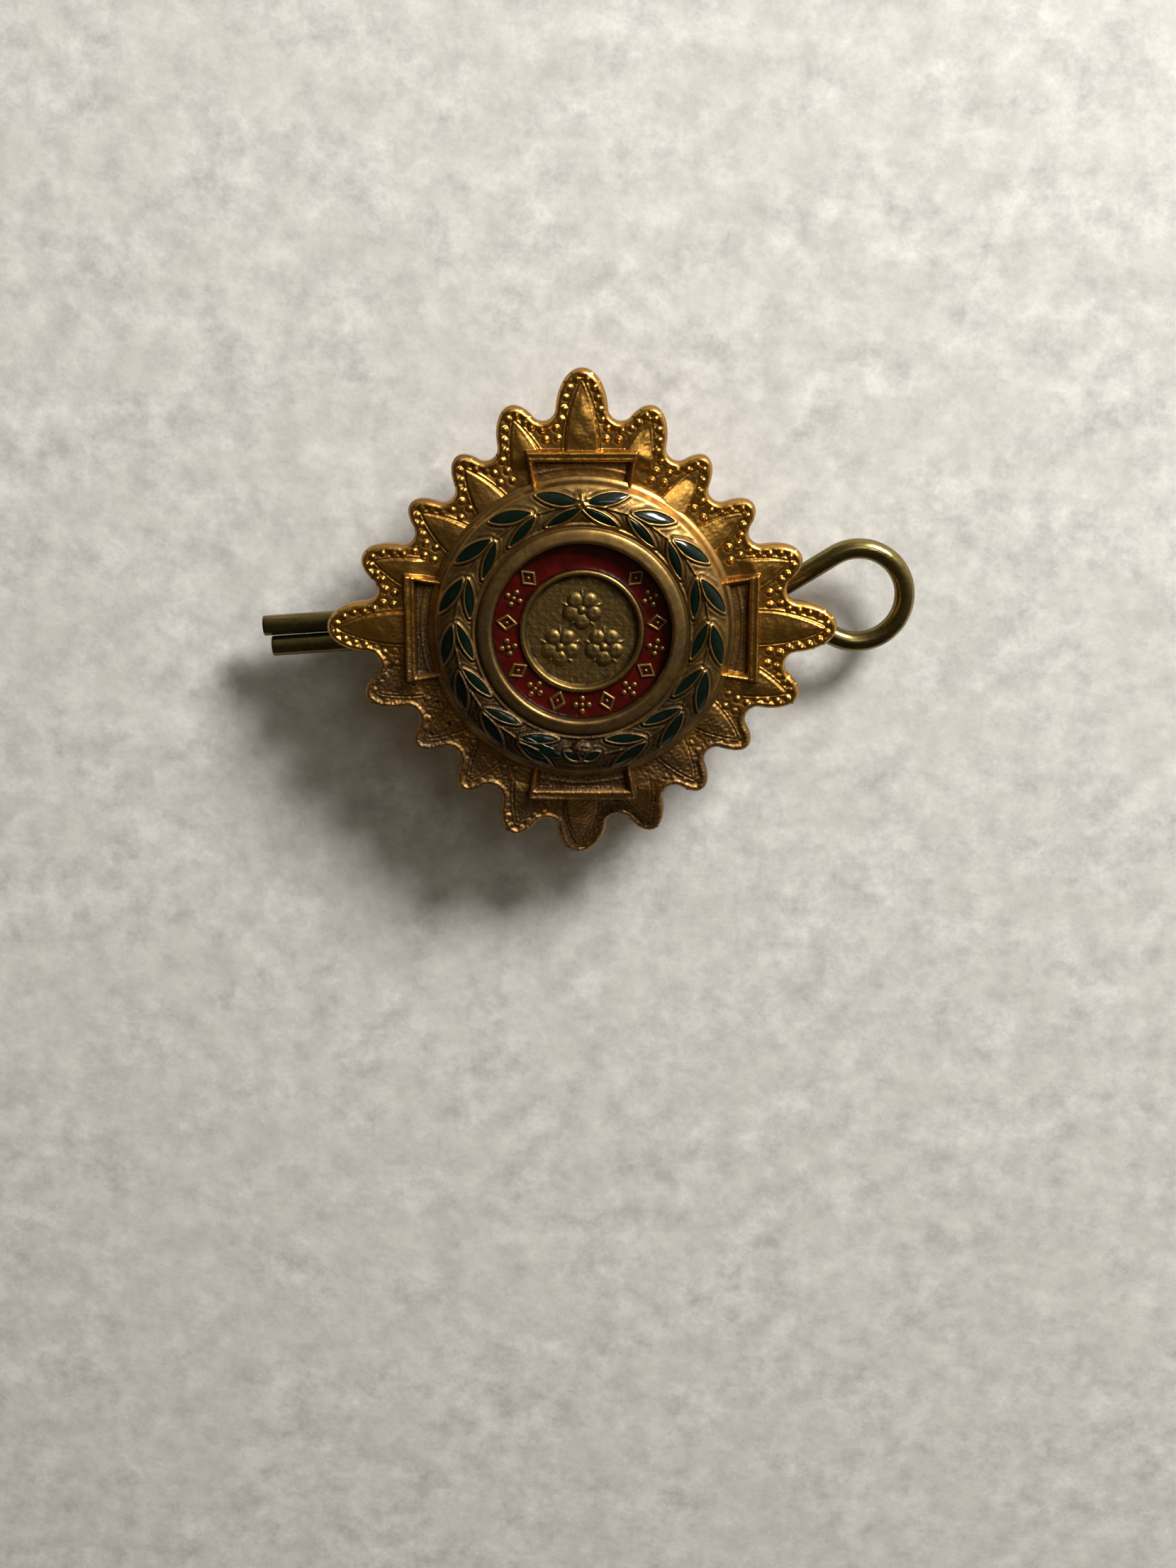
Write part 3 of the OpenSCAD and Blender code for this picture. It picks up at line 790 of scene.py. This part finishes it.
def build_collar():
    profile, lip_rows = collar_profile()
    count = 1000
    p = circles(profile[:, 0], count)
    r, z = (np.repeat(column, count) for column in profile.T)
    row = np.repeat(np.arange(len(profile)), count)
    top = (row > lip_rows) & (r > 5.8) & (r < 8.01) & (z > 1.5)
    q, rq = p[top], r[top]
    sd = np.full(len(q), 9.0)
    for _, start, end, w in leaf_list():
        sd = np.minimum(sd, leaf_sd(q, start, end, w))
    field = ramp(rq, 5.9, 6.05) * (1 - ramp(rq, 7.62, 7.95))
    # a rim round each leaf, the ground between them, the stems, the knot and the bottom flower
    ridge = 0.024 * bump(sd, 0.055, 0.075) - 0.16 * ramp(-sd, -0.012, 0.045)
    between = ramp(sd, 0.06, 0.2)
    dz = ridge - (0.13 * between - 0.035 * bump(sd, 0.3, 0.09)) * field
    angle = direction_of(q)
    turn = np.minimum(angle, 360 - angle)
    stem = bump(rq, 6.93 + 0.05 * np.sin(np.radians(turn * 360 / LEAF_PITCH)), 0.06)
    stem *= ramp(turn, 4, 8) * (1 - ramp(turn, 166, 172)) * ramp(sd, 0.0, 0.05)
    dz += 0.09 * stem
    knot = q - KNOT
    rho, phi = np.hypot(*knot.T), np.arctan2(*knot.T)
    dz = np.where(rho < 0.7, dz * ramp(rho, 0.3, 0.6) + 0.13 * bump(rho, 0, 0.17)
                  + 0.1 * bump(rho, 0.3, 0.13) * np.cos(2.5 * phi) ** 2, dz)
    fx, fy = (q - FLOWER).T
    oval = 1 - (fx / 0.52) ** 2 - (fy / 0.4) ** 2
    lumps = 0.03 * waves(q, 0.35, 9)
    dz = np.where(oval > -0.3, dz * ramp(-oval, 0.0, 0.3)
                  + np.clip(oval, 0, 1) ** 0.6 * (0.13 + lumps), dz)
    dz += 0.006 * waves(q, 0.9, 11) + 0.003 * waves(q, 0.2, 12)
    z[top] += dz
    lip = (r < 5.75) & (z > 1.6)
    z[lip] += 0.006 * waves(p[lip], 1.6, 13)
    faces = grid_faces(len(profile), count, closed_rows=True)
    hollow = np.clip(sink(z, faces, 8) / 0.025, 0, 1)
    # The hollows, the crease at the lip's foot, the flange's edge and the ground between the leaves
    # are darkened: painted shade, with some grime.
    groove = bump(r, 5.76, 0.07) * 0.9 + bump(r, 8.43, 0.05) * 0.5
    ground = np.zeros(len(z))
    ground[top] = between * field * 0.45
    dirt = np.where(z > 1.3, np.clip(0.8 * hollow * top + groove + ground, 0, 1), 0.3)
    way = direction_of(p)
    # Lighter at the top right, where the key lamp falls, and the lip darker away from it: painted
    # light and shade. Duller towards the bottom: part wear, part painted shade.
    tarnish = np.clip(0.22 + 0.15 * waves(p, 2.6, 14) + 0.3 * worn_share(way) * top
                      - 0.16 * top * np.cos(np.radians(way - 20))
                      + 0.28 * lip * (1 - np.clip(np.cos(np.radians(way - 10)), 0, 1)), 0, 1)
    mesh = mesh_of("collar", np.c_[p, z], [faces[:, ::-1]], dirt=dirt, tarnish=tarnish)
    piece("collar", mesh, GILT_COLLAR, ["wreath_collar"])


FOOT = 0.2  # how far the enamel goes down into the collar


def build_leaves():
    rows, cols = 26, 11
    s = (1 - np.cos(np.linspace(0, math.pi, rows))) / 2
    t = np.linspace(-1, 1, cols)
    rng = np.random.default_rng(21)
    for node, start, end, w in leaf_list():
        length, _, across, radius = leaf_frame(start, end, w)
        half = np.sqrt(radius ** 2 - ((s - 0.5) * length) ** 2) - (radius - w / 2)
        half = np.maximum(half, 0.012)[:, None, None]
        flat = start + s[:, None, None] * (end - start) + (t[None, :, None] * half) * across
        p = flat.reshape(-1, 2)
        tt = np.tile(t, rows)
        ss = np.repeat(s, cols)
        full = rng.uniform(0.7, 1.15)
        mid = (start + end) / 2
        facing = max(0.0, float(mid @ [0.64, 0.77]) / np.hypot(*mid))
        lift = (0.018 + 0.04 * facing ** 2) * full * (1 - tt ** 2) * np.sin(np.pi * ss) ** 0.6
        lean = 0.02 * rng.uniform(-1, 1) * tt
        dome = dome_z(np.hypot(*p.T))
        z = dome - 0.035 + lift + lean + 0.006 * waves(p, 0.8, 31)
        low = dome - FOOT
        n = rows * cols
        top = grid_faces(rows, cols, closed_cols=False)
        ring = np.r_[np.arange(cols), np.arange(1, rows) * cols + cols - 1,
                     np.arange((rows - 1) * cols + cols - 2, (rows - 1) * cols - 1, -1),
                     np.arange(rows - 2, 0, -1) * cols]
        wall = np.c_[ring, np.roll(ring, -1), np.roll(ring, -1) + n, ring + n]
        mesh = mesh_of(node, np.r_[np.c_[p, z], np.c_[p, low]], [top[:, ::-1], top + n, wall],
                       edge=np.tile(np.abs(tt) ** 3, 2))
        face_outward(mesh)
        piece("enamel_" + node, mesh, GREEN, [node])


def build_flood():
    """The spot at the lower left where the enamel has run over the leaves' rims."""
    centre, turn, foot = [-2.35, -6.52], 22, 1.9
    count, rings = 72, 12
    a = angles(count)
    reach = 1 + 0.16 * np.sin(3 * a + 0.6) + 0.1 * np.sin(5 * a + 2.0) + 0.06 * np.sin(9 * a)
    share = np.r_[1.0, 0.97, np.linspace(0.92, 0.08, rings - 2)]
    flat = np.c_[1.15 * np.cos(a) * reach, 0.46 * np.sin(a) * reach]
    p = (share[:, None, None] * flat).reshape(-1, 2)
    p = turned(p, turn) + centre
    s = np.repeat(share, count)
    dome = dome_z(np.hypot(*p.T))
    z = (dome + 0.01 - 0.1 * ramp(s, 0.9, 1.0) + 0.011 * waves(p, 0.9, 71)
         + 0.003 * waves(p, 0.35, 72))
    low = np.c_[p[:count], dome[:count] - FOOT]
    verts, *faces = closed([low, *np.c_[p, z].reshape(rings, count, 3)], (*centre, foot),
                           (*centre, dome_z(np.hypot(*centre)) + 0.01))
    mesh = mesh_of("enamel_flood", verts, faces,
                   edge=np.r_[np.ones(count), ramp(s, 0.8, 1.0), 1, 0])
    face_outward(mesh)
    piece("enamel_flood", mesh, GREEN)


# ---- the plaque ----
PLAQUE_RINGS = (2.98, 3.05, 3.1, 3.16, 3.25, 3.34, 3.4, 3.44, 3.47, PLAQUE_R)


def disc_field(radius, rings, step):
    """A triangulated disc with exact rings of points, coarser where the red enamel covers it."""
    fixed = np.concatenate([circles([rr], int(round(2 * math.pi * rr / step))) for rr in rings])
    x, y = np.meshgrid(np.arange(-120, 120), np.arange(-140, 140))
    p = np.c_[((x + (y % 2) / 2) * step).ravel(), (y * step * ROW).ravel()]
    r = np.hypot(*p.T)
    keep = r < radius - step
    for rr in rings:
        keep &= np.abs(r - rr) > step * 0.6
    keep &= (r < RING_OUT + 0.1) | (np.abs(x + y).ravel() % 4 == 0)
    return triangulated(np.r_[fixed, p[keep]])


def plaque_height(p):
    r = np.hypot(*p.T)
    z = np.interp(r, [0, *PLAQUE_RINGS], [DISC_Z, DISC_Z, DISC_Z + 0.04, 2.0, 2.09, RING_Z, 2.09,
                                          2.0, 1.7, RED_FLOOR, RED_FLOOR])
    z += (r < 3) * (0.006 * waves(p, 0.5, 41) + 0.004 * waves(p, 0.22, 42)
                    + 0.006 * waves(p * [1, 0.12], 0.3, 43))
    for cx, cy in ROSETTES:
        q = (p - [cx, cy]) / 1.2
        rho, phi = np.hypot(*q.T), np.degrees(np.arctan2(*q.T)) % 72 - 36
        # five round petals with a dip in each, sepals between them and a raised middle
        away = np.hypot(rho * np.cos(np.radians(phi)) - 0.52, rho * np.sin(np.radians(phi)))
        petal = 0.19 * np.clip(1 - (away / 0.37) ** 2, 0, 1) ** 0.7 - 0.05 * bump(away, 0, 0.17)
        gap = rho * np.sin(np.radians(36 - np.abs(phi)))
        sepal = 0.09 * bump(gap, 0, 0.06) * bump(rho, 0.74, 0.16)
        middle = 0.2 * np.clip(1 - (rho / 0.2) ** 2, 0, 1) ** 0.5 - 0.05 * bump(rho, 0.25, 0.05)
        z += np.maximum.reduce([petal, sepal, middle]) * (rho < 1.05)
    return z


def build_plaque():
    p, faces = disc_field(PLAQUE_R, PLAQUE_RINGS[::-1], 0.048)
    z = plaque_height(p)
    hollow = np.clip(sink(z, faces, 10) / 0.035, 0, 1)
    r = np.hypot(*p.T)
    outer = np.nonzero(r > PLAQUE_R - 1e-4)[0]
    outer = outer[np.argsort(direction_of(p[outer]))]
    count, n = len(p), len(outer)
    here = np.arange(n)
    after = (here + 1) % n
    wall = np.c_[outer, outer[after], count + after, count + here]
    base = fan(count + here, count + n)
    verts = np.r_[np.c_[p, z], np.c_[p[outer], np.full(n, PLATE_T)], [[0, 0, PLATE_T]]]
    tarnish = np.clip(0.35 + 0.3 * waves(p, 1.1, 44) - 0.3 * ramp(z, 1.85, 2.05), 0, 1)
    # The disc's hollows are darkened: part grime, part painted shade.
    dirt = 0.8 * hollow * (r < 3.6)
    pad = len(verts) - count
    mesh = mesh_of("plaque", verts, [faces, wall, base], dirt=np.r_[dirt, np.zeros(pad)],
                   tarnish=np.r_[tarnish, np.full(pad, 0.3)])
    face_outward(mesh)
    piece("plaque", mesh, GILT_PLAQUE, ["centre_plaque"])


def build_marks():
    """The plain ornaments that stand in for the band's lettering: lozenges and crosses."""
    marks = Solid()

    def boss(at, size, height, sides, rows, turn=0.0):
        marks.add(*dome_blob(at, size, MARK_Z, height, MARK_FOOT, sides, rows, turn))

    wire = 0.095
    for i in range(ORNAMENTS):
        angle = PLAIN_ANGLE / 2 + (360 - PLAIN_ANGLE) * (i + 0.5) / ORNAMENTS
        at = polar(BAND_R, angle)
        if i % 2 == 0:
            corners = np.array([[0, 0.5], [0.39, 0], [0, -0.5], [-0.39, 0], [0, 0.5]])
            corners = turned(corners, angle) + at
            for a, b in zip(corners, corners[1:]):
                line = np.linspace(a, b, 9)
                marks.add(*sweep(np.c_[line, np.full(9, MARK_Z)], wire, 12, cap=0.5))
            for c in corners[:4]:
                boss(c, (wire, wire), wire, 12, 4)
            boss(at, (0.1, 0.12), 0.09, 14, 5, angle)
        else:
            boss(at, (0.14, 0.14), 0.1, 16, 5)
            for q in range(4):
                c = at + turned(np.array([[0, 0.36]]), angle + 90 * q)[0]
                boss(c, (0.17, 0.17), 0.09, 16, 5)
    mesh = mesh_of("plaque_marks", marks.points(), marks.faces, dirt=0.15, tarnish=0.2)
    face_outward(mesh)
    piece("plaque_marks", mesh, GILT_PLAQUE)


def build_red():
    """The red enamel of the band, which creeps up at both of its edges."""
    count = 420
    r = np.array([RED_IN, 3.46, 3.52, 3.62, 3.75, 3.9, 4.05, 4.2, 4.35, 4.5, 4.62, 4.72, 4.79,
                  RED_OUT])
    rise = np.array([0.06, 0.04, 0.015, 0.0, -0.005, 0, 0.003, 0.003, 0, -0.003, 0.0, 0.015,
                     0.035, 0.06])
    p = circles(r, count)
    z = RED_Z - 0.03 + np.repeat(rise, count)
    z = z + 0.008 * waves(p, 0.9, 51) + 0.004 * waves(p, 0.3, 52)
    low = np.c_[circles([RED_OUT, RED_IN], count), np.full(2 * count, RED_FLOOR + 0.01)]
    faces = grid_faces(len(r) + 2, count, closed_rows=True)
    edge = np.repeat(np.interp(r, [RED_IN, 3.6, 4.6, RED_OUT], [1, 0, 0, 1]), count)
    mesh = mesh_of("red_band", np.r_[np.c_[p, z], low], [faces],
                   edge=np.r_[edge, np.ones(2 * count)])
    face_outward(mesh)
    piece("red_band", mesh, RED, ["red_enamel"])


# ---- fastening ----
def pin_turned(v):
    """Points in the pin's own direction turned to where it lies under the star."""
    return np.c_[turned(v[:, :2], -PIN_TURN), v[:, 2]]


def revolve(profile, centre, sides=48):
    """A closed solid of revolution about a vertical axis, its profile from the axis and back."""
    a = angles(sides)
    rings = [np.c_[r * np.cos(a) + centre[0], r * np.sin(a) + centre[1], np.full(sides, z)]
             for r, z in profile[1:-1]]
    return closed(rings, (*centre, profile[0][1]), (*centre, profile[-1][1]))


def build_lug(name, x):
    c = LUG_R + LUG_D / 2
    a = np.radians(np.linspace(0, 180, 61))
    leg = np.linspace(0.33, -PIN_Z, 24)[:-1]
    y = np.r_[np.full(len(leg), c), c * np.cos(a), np.full(len(leg), -c)]
    z = np.r_[leg, -PIN_Z - c * np.sin(a), leg[::-1]]
    solid = Solid()
    solid.add(*sweep(np.c_[np.full(len(y), x), y, z], LUG_D / 2, 32))
    # a fillet of solder round each foot
    root, size = 0.349, 0.42
    flank = [(LUG_D / 2 + size * (1 - s) ** 2.2, root - size * s) for s in np.linspace(0, 1, 9)]
    for side in (1, -1):
        v = revolve([(0, root), *flank, (0, -0.08)], (x, side * c))
        v[0][:, :2] += 0.02 * waves(v[0], 0.8, 61)[:, None] * (v[0][:, 2:] < 0.34)
        solid.add(*v)
    v = pin_turned(solid.points())
    rub = 0.2 + 0.5 * ramp(-v[:, 2], 4.2, 5.3)
    mesh = mesh_of(name, v, solid.faces, rub=rub)
    face_outward(mesh)
    piece(name, mesh, LUG_BRASS, [name])


def build_rivets():
    solid = Solid()
    low, tall, wide = 0.05, 0.29, 0.95
    head = [(wide * math.sin(q) ** 0.8, low + tall * (1 - math.cos(q)) ** 1.1)
            for q in np.linspace(0, 1, 10)[1:] * math.pi / 2]
    for side in (1, -1):
        solid.add(*revolve([(0, low), *head, (0.93, 0.36), (0, 0.37)], (0, side * RIVET_Y)))
    mesh = mesh_of("rivets", solid.points(), solid.faces, rub=0.3)
    face_outward(mesh)
    piece("rivets", mesh, LUG_BRASS, ["centre_rivets"])


def pin_path():
    """The pin's centre line, from the end of the leg at +Y round the eye to the other end."""
    leg_y, bend_r = PIN_D / 2 + 0.02, 1.4
    eye_c, eye_x = EYE_R - PIN_D / 2, PIN_RIGHT - EYE_R
    a = math.radians(EYE_ANGLE)
    branch_x = eye_x - (eye_c + bend_r - (leg_y + bend_r) * math.cos(a)) / math.sin(a)
    x = np.linspace(PIN_RIGHT - PIN_L, branch_x, 150)[:-1]
    leg = np.c_[x, np.full(len(x), leg_y)]
    t = np.linspace(0, a, 16)
    bend = np.c_[branch_x + bend_r * np.sin(t), leg_y + bend_r * (1 - np.cos(t))]
    on_eye = np.array([eye_x - eye_c * math.sin(a), eye_c * math.cos(a)])
    branch = np.linspace(bend[-1], on_eye, 20)[1:-1]
    half = np.r_[leg, bend, branch]
    e = np.linspace(math.pi / 2 + a, -math.pi / 2 - a, 90)
    eye = np.c_[eye_x + eye_c * np.cos(e), eye_c * np.sin(e)]
    other = (half * [1, -1])[::-1]
    other = other[other[:, 0] > PIN_RIGHT - PIN_L + 0.2]
    return np.r_[half, eye, other]


def build_pin():
    flat = pin_path()
    path = np.c_[flat, np.full(len(flat), -PIN_Z)]
    verts, *faces = sweep(path, PIN_D / 2, 32)
    v = pin_turned(verts)
    # Lighter on the eye's upper right and along the wire's top: a painted highlight.
    rub = 0.4 * ramp(v[:, 0] + v[:, 1], 15, 20) * ramp(v[:, 2], -2.9, -2.3) + 0.06
    mesh = mesh_of("split_pin_wire", v, faces, rub=rub)
    face_outward(mesh)
    piece("split_pin_wire", mesh, PIN_BRASS, ["split_pin"], body="split_pin")


# ---- stage ----
def build_floor():
    p = Paint("paper", Roughness=0.9, Specular_IOR_Level=0.15)
    blotch = p.noise(1.9, 0, 1, detail=8, rough=0.74, sharp=0.16)
    colour = p.blend(blotch, (0.54, 0.533, 0.515), (0.90, 0.884, 0.85))
    tint = p.noise(3.5, 0, 0.5, detail=4, rough=0.6, sharp=0.12)
    colour = p.blend(tint, colour, (0.72, 0.705, 0.665))
    material = p.done(Base_Color=colour, Normal=p.relief(p.noise(0.7, detail=5), 0.02, 0.5))
    mesh = bpy.data.meshes.new("floor")
    r, z = 1.5, FLOOR_Z * MM
    mesh.from_pydata([(-r, -r, z), (r, -r, z), (r, r, z), (-r, r, z)], [], [(0, 1, 2, 3)])
    mesh.materials.append(material)
    placed("floor", mesh)


def area_light(name, toward, away, size, power, colour):
    """A round lamp in a direction from the middle of the object, facing it. Sizes are in mm."""
    data = bpy.data.lights.new(name, "AREA")
    data.shape, data.size, data.energy, data.color = "DISK", size * MM, power, colour
    z = np.array(toward, float) / np.linalg.norm(toward)
    x = np.cross([0, 0, 1.0], z)
    x /= np.linalg.norm(x)
    rows = np.c_[x, np.cross(z, x), z, z * away * MM].tolist()
    placed(name, data).matrix_world = Matrix([*rows, (0, 0, 0, 1)])


# the room's light: its bright side, and its colour from the far side, 0, to the bright side, 1
BRIGHT_SIDE = np.array([0.62, 0.75, 0.0])
ROOM = ((0.0, (0.038, 0.031, 0.020)), (0.5, (0.053, 0.044, 0.0285)),
        (0.72, (0.145, 0.128, 0.098)), (1.0, (0.70, 0.66, 0.58)))


def build_light():
    world = bpy.context.scene.world or bpy.data.worlds.new("world")
    bpy.context.scene.world = world
    world.use_nodes = True
    tree = world.node_tree
    back = tree.nodes["Background"]
    place = tree.nodes.new("ShaderNodeTexCoord")
    dot = tree.nodes.new("ShaderNodeVectorMath")
    dot.operation = "DOT_PRODUCT"
    dot.inputs[1].default_value = (BRIGHT_SIDE / np.linalg.norm(BRIGHT_SIDE)).tolist()
    tone = tree.nodes.new("ShaderNodeValToRGB")
    stops = tone.color_ramp.elements
    for at, _ in ROOM[1:-1]:
        stops.new(at)
    for stop, (_, colour) in zip(stops, ROOM):
        stop.color = (*colour, 1)
    half = tree.nodes.new("ShaderNodeMapRange")
    half.inputs["From Min"].default_value = -1
    tree.links.new(place.outputs["Generated"], dot.inputs[0])
    tree.links.new(dot.outputs["Value"], half.inputs["Value"])
    tree.links.new(half.outputs["Result"], tone.inputs["Fac"])
    tree.links.new(tone.outputs["Color"], back.inputs["Color"])
    back.inputs["Strength"].default_value = 1.0
    area_light("key", (0.525, 0.685, 0.505), 300, 94, 1.25, (1.0, 0.98, 0.945))
    area_light("second", (0.27, 0.385, 0.883), 200, 60, 0.024, (1.0, 0.97, 0.91))


def build_camera():
    """Looks down from the badge's upper side, 16 degrees off the vertical."""
    data = bpy.data.cameras.new("camera")
    data.lens, data.sensor_width, data.clip_start = 48.8, 36, 0.005
    camera = placed("camera", data)
    camera.matrix_world = Matrix(((1, 0, 0, 0.33 * MM), (0, 0.961, 0.2764, 23.97 * MM),
                                  (0, -0.2764, 0.961, 115.3 * MM), (0, 0, 0, 1)))
    bpy.context.scene.camera = camera


build_star()
build_collar()
build_leaves()
build_flood()
build_plaque()
build_marks()
build_red()
build_lug("lug_left", -LUG_X)
build_lug("lug_right", LUG_X)
build_rivets()
build_pin()
build_floor()
build_light()
build_camera()
bpy.context.scene.view_settings.view_transform = "Standard"
bpy.context.view_layer.update()
